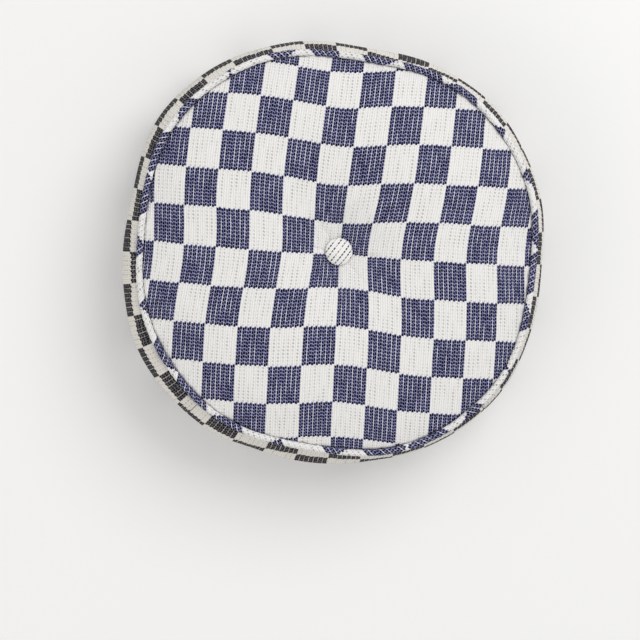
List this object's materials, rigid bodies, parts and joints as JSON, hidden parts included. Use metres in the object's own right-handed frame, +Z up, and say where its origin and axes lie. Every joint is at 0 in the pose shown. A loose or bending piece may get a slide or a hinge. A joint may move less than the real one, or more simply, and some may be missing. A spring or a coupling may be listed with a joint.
{
  "type": "seat cushion",
  "caption": "Round tufted seat cushion with corded edges, a covered button drawn in on each side and a zipped boxing, for an office or dining chair.",
  "frame": {"origin": "centre of the cushion's underside, on the surface that it lies on", "axes": "+Z up through the two buttons, from the underside to the sitting side; +Y towards the middle of the zip at the back"},
  "size_m": [0.46, 0.4597, 0.1244],
  "materials": {
    "cover_cloth": "woven cream and dark navy check, ribbed",
    "piping_cloth": "the same check cut on the bias over cord",
    "button_cloth": "cream weave with a few dark threads",
    "cotton_cord": "twisted natural cotton",
    "foam": "open cell upholstery foam",
    "wadding": "white polyester wadding",
    "button_metal": "pressed sheet",
    "zip_tape": "woven polyester tape",
    "zip_teeth": "moulded",
    "zip_metal": "enamelled die casting"
  },
  "bodies": {
    "cushion": {"top_panel": "cover_cloth", "bottom_panel": "cover_cloth", "boxing_strip": "cover_cloth", "zip_strip_upper": "cover_cloth", "zip_strip_lower": "cover_cloth", "top_piping": "piping_cloth", "bottom_piping": "piping_cloth", "top_piping_cord": "cotton_cord", "bottom_piping_cord": "cotton_cord", "foam_core": "foam", "batting_top": "wadding", "batting_bottom": "wadding", "batting_band": "wadding", "top_button_cover": "button_cloth", "top_button_cap": "button_metal", "top_button_back": "button_metal", "top_button_eye": "button_metal", "bottom_button_cover": "button_cloth", "bottom_button_cap": "button_metal", "bottom_button_back": "button_metal", "bottom_button_eye": "button_metal", "tufting_twine": "cotton_cord", "zip_tape_upper": "zip_tape", "zip_tape_lower": "zip_tape", "zip_teeth_upper": "zip_teeth", "zip_teeth_lower": "zip_teeth", "zip_top_stops": "zip_metal", "zip_bottom_stop": "zip_metal"},
    "slider": {"zip_slider": "zip_metal"},
    "pull": {"zip_pull": "zip_metal"}
  },
  "joints": [
    {"name": "zip_travel", "type": "hinge", "parent": "cushion", "child": "slider", "pos_m": [0, 0, 0.0595], "axis": [0, 0, 1], "range_deg": [0, 75]},
    {"name": "pull_swing", "type": "hinge", "parent": "slider", "child": "pull", "pos_m": [0.14169, 0.18465, 0.0595], "axis": [0, 0, -1], "range_deg": [0, 165]}
  ]
}
